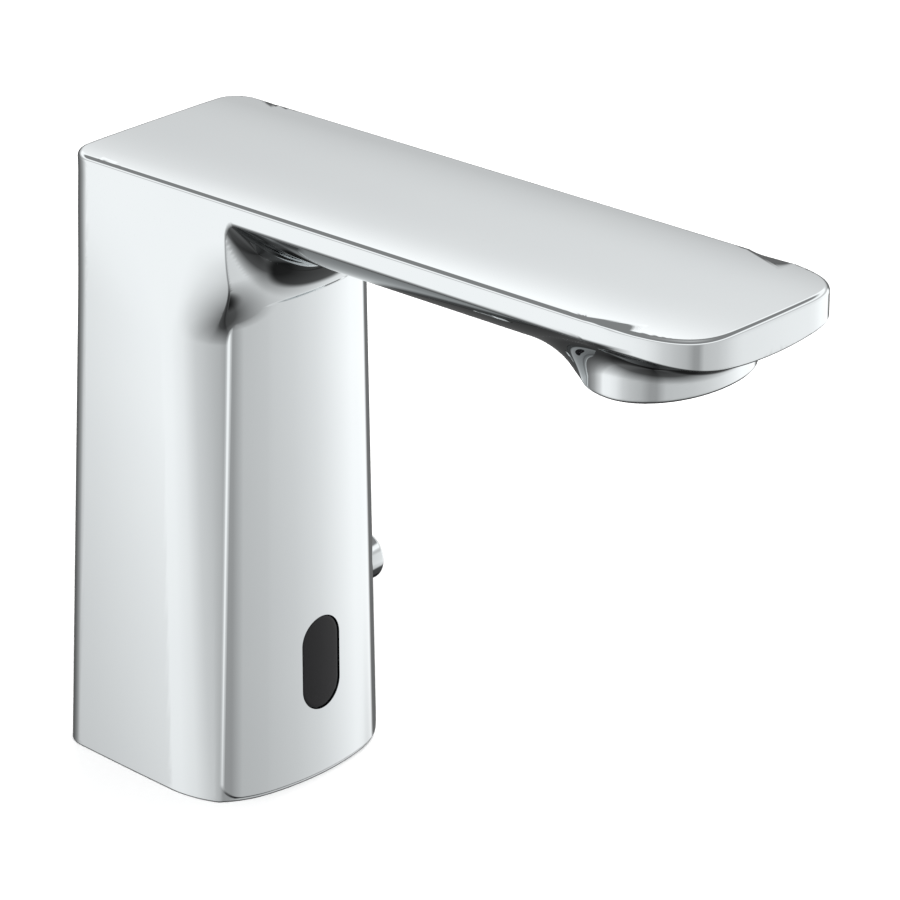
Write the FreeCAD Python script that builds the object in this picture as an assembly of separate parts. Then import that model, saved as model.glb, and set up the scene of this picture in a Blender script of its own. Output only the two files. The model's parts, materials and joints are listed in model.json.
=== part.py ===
import FreeCAD, Part
import os
import math

# Sensor tap: a cast column and spout, with the sensor, the mixing valve and the solenoid valve inside.
# Origin on the deck under the column, +Z up, the spout reaches towards -Y, the knob is on +X.
# All sizes are in millimetres.

# cast body, outside
body_height = 145.0
band_height = 5.0
back_at_deck = 33.6
back_at_top = 25.2
flank_back_at_deck = 26.3
flank_front_at_deck = 28.2
spout_half_width = 26.6
back_corner = 6.5
soft_corner_start = -4.0
front_apex = -24.6
panel_half_at_deck = 25.4
panel_half_narrowing = 4.8
panel_edge_at_deck = -17.4
panel_edge_at_neck = -19.1
panel_middle_share = 0.6
panel_middle_drop = 0.245
strip_at_deck = 0.7
strip_at_neck = 1.7
neck_drop = 28.5
neck_radius = 11.0
neck_side_front = -23.1
neck_side_inset = 0.2
neck_side_drop = 36.0
neck_forward_rise = 17.0
neck_outward_rise = 31.0
top_round = 1.2
pad_step = 0.55
pad_inset = 0.15
pad_depth = 7.6
pad_bottom = 1.0
pad_top_drop = 27.4
pad_bottom_corner = 3.5
pad_top_corner = 5.5
cut_margin = 1.0

# spout
spout_end = -150.4
tip_corner_across = 16.6
tip_corner_along = 28.0
tip_corner_power = 3.2
belly_depth = 12.2
belly_end_depth = 3.2
belly_rise_length = 52.4

# aerator housing under the spout's tip
outlet_setback = 26.4
housing_depth = 19.0
housing_half_width = 20.8
housing_rear = 17.0
housing_front = 14.4
housing_edge = 0.8
housing_flare = 7.5
housing_flare_height = 11.0

# cast body, inside
wall = 3.0
column_roof_drop = 27.0
shaft_half_width = 20.0
shaft_front = -15.0
shaft_back = 18.5
spout_roof = 3.2
channel_depth = 14.1
channel_floor_half = 8.0
channel_shoulder_drop = 7.0
channel_half = 22.6
channel_end_gap = 14.0

# foot
seal_height = 2.2
seal_width = 3.6
plate_height = 8.2
plate_gap = 0.3
stud_thread_r = 3.4
screw_r = 2.0
screw_head_r = 3.6
screw_head_height = 1.8
screw_head_gap = 0.3
screw_grip = 10.0
corner_boss_x = 18.6
corner_boss_y = 25.6
corner_boss_r = 4.0
corner_boss_height = 12.0
grommet_x = 12.0
grommet_y = -8.0
grommet_r = 3.4
grommet_flange = 1.2
lead_r = 1.8

# mixing block
inlet_x = 11.0
inlet_y = 12.5
inlet_thread_r = 6.95
inlet_thread_length = 10.0
hose_hole_r = 9.0
block_half_width = 20.0
block_front = 4.5
block_back = 20.6
block_height = 43.8
block_corner = 2.0
block_screw_spacing = 11.2
water_way_r = 1.2
water_way_drop = 2.6
riser_offset = 6.2
riser_r = 1.6

# check valves
fit_gap = 0.05
check_r = 6.5
check_length = 12.0
check_wall = 1.0
check_lip = 2.0
check_seat_r = 3.6
check_guide = 1.4
check_port_r = 1.3
check_travel = 2.0
poppet_r = 4.6
poppet_thickness = 1.8
poppet_stem_r = 1.2
strainer_thickness = 0.8
strainer_hole_r = 0.7
strainer_pitch = 2.0

# mixing cartridge and knob
knob_y = -6.5
knob_z = 38.0
knob_r = 5.8
knob_start = 28.3
knob_end = 34.4
knob_dome = 0.8
knob_neck_r = 4.2
knob_gap = 0.4
knob_screw_r = 1.45
knob_screw_depth = 2.6
cartridge_r = 6.4
cartridge_start = 11.8
cartridge_end = 20.6
cartridge_wall = 1.2
boss_wall = 1.9
boss_floor = 3.2
disc_thickness = 1.8
disc_port_r = 1.3
spindle_r = 2.5
spindle_flange_r = 4.8
spindle_flange = 1.6
spindle_end = 33.0
ring_wire = 0.8

# solenoid valve
valve_y = 12.0
valve_r = 13.0
valve_base_height = 12.0
chamber_depth = 4.6
chamber_rim = 1.6
diaphragm_r = 11.0
diaphragm_thickness = 1.4
main_seat_r = 3.0
main_seat_wall = 1.4
duct_rise = 4.0
hub_r = 4.6
hub_neck_r = 4.0
hub_height = 3.4
pilot_r = 0.7
main_lift = 1.6
cover_height = 7.0
cover_roof = 1.5
core_r = 5.2
core_cap = 3.6
plunger_r = 4.4
plunger_tip_r = 1.8
plunger_tip = 2.0
plunger_height = 20.0
plunger_lift = 2.0
plunger_bore = 7.0
plunger_spring_r = 2.4
coil_r = 11.4
coil_height = 19.0
frame_thickness = 1.8
frame_half_width = 9.0
nut_r = 7.8
nut_height = 3.0
valve_screw_reach = 13.2
valve_screw_r = 1.2
valve_screw_sink = 2.5
valve_lug_r = 3.0
socket_y = -8.0
socket_r = 6.4
socket_height = 20.0

# spout tube
tube_r = 3.4
tube_wall = 0.9
tube_drop = 7.1
tube_bend = 9.0
tube_plug = 6.0
tube_end_gap = 15.5

# aerator
nest_r = 12.2
nest_roof = 2.1
nest_recess = 0.6
nest_socket_r = 4.6
nest_socket_length = 22.0
nest_chamber_r = 8.0
nest_chamber_height = 3.6
cage_r = 10.6
cage_wall = 1.6
cage_lip = 0.8
cage_recess = 1.4
cage_height = 6.5
insert_hole_r = 1.0
insert_pitch = 2.6
gasket_width = 2.9
gasket_thickness = 1.2

# sensor
window_z = 28.3
window_half_width = 6.0
window_half_height = 11.35
window_gap = 0.15
window_flange = 2.0
window_seal = 0.9
window_seal_start = 0.55
lens_flange_depth = 1.5
lens_recess = 0.3
tray_half_width = 8.2
tray_half_height = 13.4
tray_depth = 9.4
tray_wall = 1.2
board_thickness = 1.5
board_gap = 0.2
diode_r = 2.4
diode_collar = 0.4
diode_collar_height = 1.0
diode_spacing = 10.5
diode_gap = 0.3
ear_x = 12.8
ear_reach = 3.4
ear_setback = 0.6
ear_thickness = 2.0
ear_half_height = 3.3
sensor_boss_r = 3.2
sensor_screw_r = 1.2
sensor_screw_head_r = 2.3
sensor_screw_head = 1.3
sensor_screw_depth = 3.4

# springs
spring_wire_r = 0.35
spring_turns = 4
spring_sides = 8

# places worked out from the sizes above
band_bottom = body_height - band_height
neck_start = body_height - neck_drop
neck_side_start = body_height - neck_side_drop
pad_top = body_height - pad_top_drop
housing_bottom = body_height - housing_depth
column_roof = body_height - column_roof_drop
channel_floor = body_height - channel_depth
channel_shoulder = body_height - channel_shoulder_drop
tube_z = body_height - tube_drop
outlet_y = spout_end + outlet_setback
belly_rise_start = spout_end + belly_rise_length
channel_end = outlet_y + channel_end_gap
tube_end = outlet_y + tube_end_gap
nest_socket_end = outlet_y + nest_socket_length
inner_front = front_apex + wall
check_bottom = plate_height + inlet_thread_length
check_top = check_bottom + check_length
check_bore_top = check_top + check_travel + check_guide
block_top = plate_height + block_height
riser_y = valve_y + riser_offset
boss_start = cartridge_start - boss_floor
gland_end = cartridge_end - fit_gap * 6.0
valve_bottom = block_top
valve_rim = valve_bottom + valve_base_height
chamber_floor = valve_rim - chamber_depth
chamber_r = diaphragm_r - chamber_rim
duct_z = valve_bottom + duct_rise
hub_bottom = valve_rim - diaphragm_thickness
hub_top = hub_bottom + hub_height
cover_top = valve_rim + cover_height
core_bottom = cover_top - cover_roof
plunger_bottom = hub_top + fit_gap
plunger_top = plunger_bottom + plunger_height
core_bore_top = plunger_top + plunger_lift + spring_turns * spring_wire_r
coil_bottom = cover_top + frame_thickness
frame_top = coil_bottom + coil_height
nut_bottom = frame_top + frame_thickness
core_top = max(nut_bottom + nut_height, core_bore_top + core_cap)
socket_top = valve_bottom + socket_height
tube_seat = socket_top - tube_plug
tube_seal_z = socket_top - tube_plug / 2.0
cage_bottom = housing_bottom + cage_recess
gasket_bottom = cage_bottom + cage_height
chamber_bottom = gasket_bottom + gasket_thickness
nest_top = chamber_bottom + nest_chamber_height + nest_roof
window_seal_front = inner_front + window_seal_start
lens_flange_start = window_seal_front + window_seal
tray_start = lens_flange_start + lens_flange_depth
board_back = tray_start + tray_depth - tray_wall
board_front = board_back - board_thickness
diode_length = board_front - tray_start - diode_r - diode_gap
ear_front = tray_start + ear_setback

UP = FreeCAD.Vector(0, 0, 1)
ALONG_X = FreeCAD.Vector(1, 0, 0)
ALONG_Y = FreeCAD.Vector(0, 1, 0)


def vec(x, y, z=0.0):
    return FreeCAD.Vector(x, y, z)


def mix(start, end, share):
    return start + (end - start) * share


def rod(radius, start, direction, length):
    return Part.makeCylinder(radius, length, start, direction)


def tube(outer, inner, start, direction, length):
    return rod(outer, start, direction, length).cut(rod(inner, start, direction, length))


def box(low, high):
    size = high.sub(low)
    return Part.makeBox(size.x, size.y, size.z, low)


def ring_seal(radius, wire, centre, direction):
    """Ring of square section, for a seal or for the groove that holds it."""
    return tube(radius + wire, radius - wire, centre - direction * wire, direction, 2.0 * wire)


def hex_hole(radius, spot, height):
    """Six-sided opening along Z, radius from flat to flat."""
    corners = [on_circle(spot.x, spot.y, spot.z, radius, index, 6) for index in range(6)]
    return Part.Face(Part.makePolygon(corners + corners[:1])).extrude(UP * height)


def segment(start, end):
    return Part.LineSegment(start, end).toShape()


def tangent_arc(start, direction, end):
    """Arc that leaves start along direction and ends at end."""
    heading = FreeCAD.Vector(direction).normalize()
    chord = end.sub(start)
    normal = chord.sub(heading * chord.dot(heading)).normalize()
    radius = chord.dot(chord) / (2.0 * chord.dot(normal))
    centre = start + normal * radius
    outward = (start - centre) + (end - centre)
    middle = centre + outward.normalize() * radius
    return Part.Arc(start, middle, end).toShape()


def corner_arc(before, corner, after, radius):
    """Rounds the corner of two lines; returns the arc and its two ends."""
    back = before.sub(corner).normalize()
    on = after.sub(corner).normalize()
    half_angle = back.getAngle(on) / 2.0
    reach = radius / math.tan(half_angle)
    start = corner + back * reach
    end = corner + on * reach
    bisector = (back + on).normalize()
    middle = corner + bisector * (radius / math.sin(half_angle) - radius)
    return Part.Arc(start, middle, end).toShape(), start, end


def panel_edge(z, inset):
    """Where the front panel ends at the side, and where the strip beside it ends."""
    low_share = min(z / neck_start, 1.0)
    x = panel_half_at_deck - panel_half_narrowing * z / band_bottom - inset
    y = mix(panel_edge_at_deck, panel_edge_at_neck, low_share) + inset
    strip = mix(strip_at_deck, strip_at_neck, low_share)
    return vec(x, y, z), vec(x + strip * 0.35, y + strip * 0.94, z)


def column_wire(z, inset, strip_end, panel_end, apex):
    """Closed outline of the column: back, flanks, soft corners, strips and the bowed front."""
    share = z / band_bottom
    back = mix(back_at_deck, back_at_top, share) - inset
    flank_back = mix(flank_back_at_deck, spout_half_width, share) - inset
    flank_front = mix(flank_front_at_deck, spout_half_width, share) - inset
    radius = max(back_corner - inset, 0.6)

    def side(sign):
        front = vec(sign * flank_front, soft_corner_start, z)
        corner = vec(sign * flank_back, back, z)
        arc, low, high = corner_arc(front, corner, vec(0, back, z), radius)
        panel = vec(sign * panel_end.x, panel_end.y, z)
        soft_end = vec(sign * strip_end.x, strip_end.y, z)
        edges = [arc, segment(front, low), tangent_arc(front, front.sub(corner), soft_end)]
        if strip_end.distanceToPoint(panel_end) > 0.0:
            edges.append(segment(soft_end, panel))
        return edges, high, panel

    right, right_back, right_panel = side(1.0)
    left, left_back, left_panel = side(-1.0)
    middle_x = panel_middle_share * panel_end.x
    middle_drop = panel_middle_drop * (panel_end.y - apex)
    middle_r = (middle_x ** 2 + middle_drop ** 2) / (2.0 * middle_drop)
    slope = math.asin(middle_x / middle_r)
    right_break = vec(middle_x, apex + middle_drop, z)
    left_break = vec(-middle_x, apex + middle_drop, z)
    panel = [Part.Arc(left_break, vec(0, apex, z), right_break).toShape(),
             tangent_arc(right_break, vec(math.cos(slope), math.sin(slope)), right_panel),
             tangent_arc(left_break, vec(-math.cos(slope), math.sin(slope)), left_panel)]
    edges = right + left + panel + [segment(right_back, left_back)]
    return Part.Wire(Part.__sortEdges__(edges))


def column_section(z, inset):
    """Outline of the column with its front panel, moved inwards by inset."""
    panel_end, strip_end = panel_edge(z, inset)
    return column_wire(z, inset, strip_end, panel_end, front_apex + inset)


def eased(share):
    """Smooth step from 0 to 1."""
    share = min(max(share, 0.0), 1.0)
    return share ** 2 * (3.0 - 2.0 * share)


def neck_section(z):
    """Outline behind the panel; higher up it squares out and runs forward under the spout."""
    outward = eased((z - neck_side_start) / neck_outward_rise)
    onward = eased((z - neck_side_start) / neck_forward_rise)
    strip_end = panel_edge(z, 0.0)[1]
    x = mix(strip_end.x, spout_half_width - neck_side_inset, outward)
    corner = vec(x, mix(strip_end.y, neck_side_front, onward), z)
    rise = min(max(z - neck_start, 0.0), neck_radius)
    forward = neck_radius - math.sqrt(neck_radius ** 2 - rise ** 2)
    return column_wire(z, 0.0, corner, corner, front_apex + pad_step - forward)


def plan_outline(z):
    """Outline of the spout and the column's top, seen from above."""
    half = spout_half_width
    back_right = vec(half, back_at_top, z)
    back_left = vec(-half, back_at_top, z)
    start_y = spout_end + tip_corner_along
    right_start = vec(half, start_y, z)
    left_start = vec(-half, start_y, z)
    right_arc, right_low, right_high = corner_arc(right_start, back_right, back_left, back_corner)
    left_arc, left_low, left_high = corner_arc(left_start, back_left, back_right, back_corner)
    straight = half - tip_corner_across

    def tip_corner(sign):
        points = []
        steps = 10
        for step in range(steps + 1):
            turn = math.pi / 2.0 * step / steps
            across = math.cos(turn) ** (2.0 / tip_corner_power)
            along = math.sin(turn) ** (2.0 / tip_corner_power)
            x = straight + tip_corner_across * across
            points.append(vec(sign * x, start_y - tip_corner_along * along, z))
        curve = Part.BSplineCurve()
        curve.interpolate(points, InitialTangent=vec(0, -1), FinalTangent=vec(-sign, 0))
        return curve.toShape()

    tip = segment(vec(straight, spout_end, z), vec(-straight, spout_end, z))
    edges = [segment(right_start, right_low), right_arc, segment(right_high, left_high), left_arc,
             segment(left_low, left_start), tip_corner(-1.0), tip, tip_corner(1.0)]
    return Part.Wire(Part.__sortEdges__(edges))


def housing_outline(z, grow):
    """Rounded outline of the aerator housing: round at the rear, squarer at the front."""
    half = housing_half_width + grow
    front = housing_front + grow * 0.8
    rear = housing_rear + grow * 1.6
    steps = 9

    def quarter(sign, along_reach, power):
        points = []
        for step in range(steps + 1):
            turn = math.pi / 2.0 * step / steps
            across = math.cos(turn) ** (2.0 / power)
            along = math.sin(turn) ** (2.0 / power)
            points.append(vec(sign * half * across, outlet_y + along_reach * along, z))
        curve = Part.BSplineCurve()
        heading = math.copysign(1.0, along_reach)
        curve.interpolate(points, InitialTangent=vec(0, heading), FinalTangent=vec(-sign, 0))
        return curve.toShape()

    front_power = 2.05
    rear_power = 2.1
    edges = [quarter(1.0, rear, rear_power), quarter(-1.0, rear, rear_power),
             quarter(-1.0, -front, front_power), quarter(1.0, -front, front_power)]
    return Part.Wire(Part.__sortEdges__(edges))


def column_solid(inset, low, high):
    return Part.makeLoft([column_section(low, inset), column_section(high, inset)], True, True)


def belly_solid():
    """Bowed underside of the spout: an arc across, shallower towards the tip."""
    steps = 6
    places = [0.0]
    for step in range(steps + 1):
        places.append(mix(belly_rise_start, spout_end, step / steps))
    wires = []
    half = spout_half_width
    for y in places:
        share = max((belly_rise_start - y) / (belly_rise_start - spout_end), 0.0)
        depth = mix(belly_depth, belly_end_depth, share ** 2)
        left = vec(-half, y, band_bottom)
        right = vec(half, y, band_bottom)
        bow = Part.Arc(left, vec(0, y, band_bottom - depth), right).toShape()
        wires.append(Part.Wire([bow, segment(right, left)]))
    first = Part.makeLoft(wires[:2], True, True)
    rest = Part.makeLoft(wires[1:], True, False)
    plan = Part.Face(plan_outline(body_height)).extrude(UP * (-2.0 * belly_depth))
    return first.fuse(rest).common(plan)


def housing_solid():
    """Aerator housing, flaring out in a hollow curve to meet the belly."""
    wires = [housing_outline(housing_bottom, -housing_edge)]
    steps = 5
    for step in range(steps + 1):
        share = step / steps
        rise = housing_edge + housing_flare_height * share
        wires.append(housing_outline(housing_bottom + rise, housing_flare * share ** 3))
    flare = Part.makeLoft(wires, True, True)
    plan = Part.Face(plan_outline(body_height)).extrude(UP * (housing_bottom - body_height))
    return flare.common(plan)


def panel_solid():
    """Front panel, standing a little proud of the column, with rounded corners."""
    low_x = panel_edge(pad_bottom, pad_inset)[0].x
    high_x = panel_edge(pad_top, pad_inset)[0].x
    front = front_apex - pad_step
    low_left = vec(-low_x, front, pad_bottom)
    low_right = vec(low_x, front, pad_bottom)
    high_right = vec(high_x, front, pad_top)
    high_left = vec(-high_x, front, pad_top)
    corners = [low_left, low_right, high_right, high_left]
    edges = []
    ends = []
    for index, corner in enumerate(corners):
        radius = pad_bottom_corner if index < 2 else pad_top_corner
        arc, start, end = corner_arc(corners[index - 1], corner, corners[(index + 1) % 4], radius)
        edges.append(arc)
        ends.append((start, end))
    for index in range(4):
        edges.append(segment(ends[index - 1][1], ends[index][0]))
    outline = Part.Wire(Part.__sortEdges__(edges))
    front_block = Part.Face(outline).extrude(ALONG_Y * pad_depth)
    return front_block.common(column_solid(0.0, 0.0, pad_top + cut_margin))


def outer_body():
    lower = Part.makeLoft([neck_section(0.0), neck_section(neck_side_start)], True, True)
    heights = [neck_side_start, mix(neck_side_start, neck_start, 0.5)]
    steps = 5
    for step in range(steps + 1):
        turn = math.pi / 2.0 * step / steps
        heights.append(neck_start + neck_radius * math.sin(turn))
    heights.append(mix(heights[-1], band_bottom, 0.5))
    heights.append(band_bottom)
    neck = Part.makeLoft([neck_section(z) for z in heights], True, True)
    slab = Part.Face(plan_outline(band_bottom)).extrude(UP * band_height)
    rims = [edge for edge in slab.Edges if edge.BoundBox.ZMin > body_height - 0.01]
    slab = slab.makeFillet(top_round, rims)
    return lower.fuse([neck, slab, belly_solid(), housing_solid(), panel_solid()])


def stadium(half_width, half_height, start_y, end_y):
    """Rounded-end block along Y, centred on the sensor window."""
    straight = half_height - half_width
    low = vec(0, start_y, window_z - straight)
    high = vec(0, start_y, window_z + straight)
    length = end_y - start_y
    middle = box(vec(-half_width, start_y, low.z), vec(half_width, end_y, high.z))
    ends = [rod(half_width, low, ALONG_Y, length), rod(half_width, high, ALONG_Y, length)]
    return middle.fuse(ends).removeSplitter()


def bent_tube(radius):
    """Solid along the water way: up from the valve, round one bend and along the spout."""
    low_end = vec(0, socket_y, tube_seat)
    low_bend = vec(0, socket_y, tube_z - tube_bend)
    near = vec(0, socket_y - tube_bend, tube_z)
    slant = tube_bend * (1.0 - math.sqrt(0.5))
    near_middle = vec(0, socket_y - slant, tube_z - slant)
    edges = [segment(low_end, low_bend), Part.Arc(low_bend, near_middle, near).toShape(),
             segment(near, vec(0, tube_end, tube_z))]
    profile = Part.Wire([Part.Circle(low_end, UP, radius).toShape()])
    return Part.Wire(edges).makePipeShell([profile], True, False)


def coil_spring(radius, bottom, top, x, y):
    """Compression spring of square wire on a vertical axis."""
    wire = spring_wire_r
    height = top - bottom - 2.0 * wire
    steps = spring_turns * spring_sides
    wires = []
    for step in range(steps + 1):
        turn = 2.0 * math.pi * step / spring_sides
        z = bottom + wire + height * step / steps
        corners = []
        for out, up in ((-1, -1), (1, -1), (1, 1), (-1, 1)):
            reach = radius + out * wire
            corners.append(vec(x + reach * math.cos(turn), y + reach * math.sin(turn), z + up * wire))
        wires.append(Part.makePolygon(corners + corners[:1]))
    return Part.makeLoft(wires, True, True)


def screw_up(x, y, head_bottom, length, shaft_r, head_r):
    head = rod(head_r, vec(x, y, head_bottom), UP, screw_head_height)
    return head.fuse(rod(shaft_r, vec(x, y, head_bottom), UP, length))


def passage(radius, points):
    """Drilled way along straight runs from point to point."""
    runs = []
    for start, end in zip(points[:-1], points[1:]):
        run = end.sub(start)
        runs.append(rod(radius, start, run, run.Length))
    return runs


def on_circle(x, y, z, reach, index, count, start=0.0):
    turn = start + 2.0 * math.pi * index / count
    return vec(x + reach * math.cos(turn), y + reach * math.sin(turn), z)


nodes = {}


def make_body_shell():
    shell = outer_body()
    cavity = column_solid(wall, -cut_margin, column_roof)
    spout_top = body_height - spout_roof
    shaft = box(vec(-shaft_half_width, shaft_front, column_roof - wall),
                vec(shaft_half_width, shaft_back, spout_top))
    profile = [vec(-channel_floor_half, shaft_back, channel_floor),
               vec(channel_floor_half, shaft_back, channel_floor),
               vec(channel_half, shaft_back, channel_shoulder),
               vec(channel_half, shaft_back, spout_top),
               vec(-channel_half, shaft_back, spout_top),
               vec(-channel_half, shaft_back, channel_shoulder)]
    channel = Part.Face(Part.makePolygon(profile + profile[:1])).extrude(ALONG_Y * (channel_end - shaft_back))
    well_start = housing_bottom - cut_margin
    well = rod(nest_r + fit_gap, vec(0, outlet_y, well_start), UP, nest_top + plate_gap - well_start)
    socket_way = rod(nest_socket_r + fit_gap, vec(0, outlet_y, tube_z), ALONG_Y,
                     nest_socket_end + plate_gap - outlet_y)
    knob_hole = rod(knob_neck_r + knob_gap, vec(cartridge_end, knob_y, knob_z), ALONG_X, knob_end)
    window = stadium(window_half_width, window_half_height, front_apex - wall, window_seal_front)
    pad = window_flange + window_half_width
    seat = box(vec(-pad, window_seal_front, window_z - window_half_height - window_flange),
               vec(pad, tray_start, window_z + window_half_height + window_flange))
    shell = shell.cut([cavity, shaft, channel, well, socket_way, knob_hole, window, seat])
    inside = column_solid(wall / 2.0, 0.0, column_roof)
    for sign in (-1.0, 1.0):
        x = sign * corner_boss_x
        boss = rod(corner_boss_r, vec(x, corner_boss_y, plate_height), UP, corner_boss_height)
        web = box(vec(x - wall, corner_boss_y, plate_height),
                  vec(x + wall, back_at_deck, plate_height + corner_boss_height))
        hole = rod(screw_r, vec(x, corner_boss_y, plate_height), UP, corner_boss_height)
        post = rod(sensor_boss_r, vec(sign * ear_x, front_apex, window_z), ALONG_Y, ear_front - front_apex)
        pit = rod(sensor_screw_r, vec(sign * ear_x, ear_front - sensor_screw_depth, window_z), ALONG_Y,
                  sensor_screw_depth)
        shell = shell.fuse(boss.fuse([web, post]).common(inside)).cut([hole, pit])
    return shell


def make_foot():
    outline = wall + plate_gap
    inner_outline = outline + seal_width
    seal = Part.Face(column_section(0.0, outline)).extrude(UP * seal_height)
    seal_hole = Part.Face(column_section(0.0, inner_outline)).extrude(UP * seal_height)
    nodes["base_seal"] = seal.cut(seal_hole)
    rim = Part.makeLoft([column_section(seal_height, outline), column_section(plate_height, outline)], True, True)
    middle = Part.Face(column_section(0.0, inner_outline + fit_gap)).extrude(UP * seal_height)
    cuts = [rod(stud_thread_r, vec(0, 0), UP, plate_height),
            rod(grommet_r, vec(grommet_x, grommet_y), UP, plate_height),
            rod(grommet_r + grommet_flange, vec(grommet_x, grommet_y), UP, seal_height)]
    plate_screws = []
    block_screws = []
    for sign in (-1.0, 1.0):
        x = sign * corner_boss_x
        y = inlet_y + sign * block_screw_spacing / 2.0
        cuts.append(rod(hose_hole_r, vec(sign * inlet_x, inlet_y), UP, plate_height))
        cuts.append(rod(screw_r + fit_gap, vec(x, corner_boss_y), UP, plate_height))
        cuts.append(rod(screw_head_r + screw_head_gap, vec(x, corner_boss_y), UP, seal_height + screw_head_height))
        cuts.append(rod(screw_r + fit_gap, vec(0, y), UP, plate_height))
        cuts.append(rod(screw_head_r + screw_head_gap, vec(0, y), UP, seal_height))
        plate_screws.append(screw_up(x, corner_boss_y, seal_height, plate_height - seal_height + screw_grip,
                                     screw_r, screw_head_r))
        block_screws.append(screw_up(0, y, seal_height - screw_head_height,
                                     plate_height - seal_height + screw_head_height + screw_grip,
                                     screw_r, screw_head_r))
    nodes["base_plate"] = rim.fuse(middle).cut(cuts)
    nodes["plate_screws"] = Part.makeCompound(plate_screws)
    nodes["block_screws"] = Part.makeCompound(block_screws)

    low = vec(grommet_x, grommet_y, seal_height - grommet_flange)
    collar = rod(grommet_r + grommet_flange, low, UP, grommet_flange)
    top = rod(grommet_r + grommet_flange, vec(grommet_x, grommet_y, plate_height), UP, grommet_flange)
    stem = rod(grommet_r, low, UP, plate_height - low.z)
    nodes["cable_grommet"] = stem.fuse([collar, top]).cut(rod(lead_r, low, UP, plate_height))


def make_mixing_block():
    block = box(vec(-block_half_width, block_front, plate_height), vec(block_half_width, block_back, block_top))
    upright = [edge for edge in block.Edges if edge.BoundBox.ZLength > block_height - fit_gap]
    block = block.makeFillet(block_corner, upright)
    boss_r = cartridge_r + boss_wall
    boss = rod(boss_r, vec(boss_start, knob_y, knob_z), ALONG_X, cartridge_end - boss_start)
    web = box(vec(boss_start, knob_y, knob_z - boss_r), vec(block_half_width, block_front + cut_margin, knob_z + boss_r))
    block = block.fuse([boss, web])

    seat_x = cartridge_start - water_way_r * 0.8
    hot_z = knob_z + water_way_drop
    cold_z = knob_z - water_way_drop
    cold_y = inlet_y - check_r + 2.0 * water_way_r
    mixed_x = cartridge_start + 2.0 * disc_thickness + spindle_flange / 2.0
    hot = [vec(inlet_x, inlet_y, check_top), vec(inlet_x, inlet_y, hot_z), vec(inlet_x, knob_y, hot_z)]
    cold = [vec(-inlet_x, cold_y, check_top), vec(-inlet_x, cold_y, cold_z), vec(seat_x, cold_y, cold_z),
            vec(seat_x, knob_y, cold_z)]
    mixed = [vec(mixed_x, knob_y, knob_z), vec(mixed_x, riser_y, knob_z), vec(0, riser_y, knob_z)]
    cuts = passage(water_way_r, hot) + passage(water_way_r, cold) + passage(water_way_r, mixed)
    cuts.append(rod(riser_r, vec(0, riser_y, knob_z), UP, block_top - knob_z))
    cuts.append(rod(cartridge_r + fit_gap, vec(cartridge_start, knob_y, knob_z), ALONG_X, cartridge_end))
    for sign in (-1.0, 1.0):
        x = sign * inlet_x
        cuts.append(rod(inlet_thread_r, vec(x, inlet_y, plate_height), UP, inlet_thread_length))
        cuts.append(rod(check_r, vec(x, inlet_y, check_bottom), UP, check_bore_top - check_bottom))
        y = inlet_y + sign * block_screw_spacing / 2.0
        cuts.append(rod(screw_r, vec(0, y, plate_height), UP, screw_grip))
    nodes["mixing_block"] = block.cut(cuts)


def make_check_valves():
    outer = check_r - fit_gap
    inner = outer - check_wall
    for name, sign in (("cold", -1.0), ("hot", 1.0)):
        x = sign * inlet_x
        holes = []
        for ring in (1, 2):
            for index in range(6 * ring):
                spot = on_circle(x, inlet_y, check_bottom, strainer_pitch * ring, index, 6 * ring)
                holes.append(hex_hole(strainer_hole_r, spot, strainer_thickness))
        screen = rod(outer, vec(x, inlet_y, check_bottom), UP, strainer_thickness)
        nodes[name + "_strainer"] = screen.cut(holes)

        seat = vec(x, inlet_y, check_bottom + strainer_thickness)
        guide = vec(x, inlet_y, check_top - check_guide)
        sleeve = tube(outer, inner, seat, UP, check_top - seat.z)
        lip = tube(outer, check_seat_r, seat, UP, check_lip)
        bridge = tube(outer, poppet_stem_r + fit_gap, guide, UP, check_guide)
        port_reach = (poppet_stem_r + inner) / 2.0
        ports = [rod(check_port_r, on_circle(x, inlet_y, guide.z, port_reach, index, 4), UP, check_guide)
                 for index in range(4)]
        nodes[name + "_check_sleeve"] = sleeve.fuse([lip, bridge]).cut(ports)

        face = seat + vec(0, 0, check_lip + fit_gap)
        poppet = rod(poppet_r, face, UP, poppet_thickness)
        stem = rod(poppet_stem_r, face, UP, check_top - face.z)
        nodes[name + "_check_poppet"] = poppet.fuse(stem)
        spring_r = poppet_stem_r + 2.0 * spring_wire_r
        nodes[name + "_check_spring"] = coil_spring(spring_r, face.z + poppet_thickness, guide.z, x, inlet_y)


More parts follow.
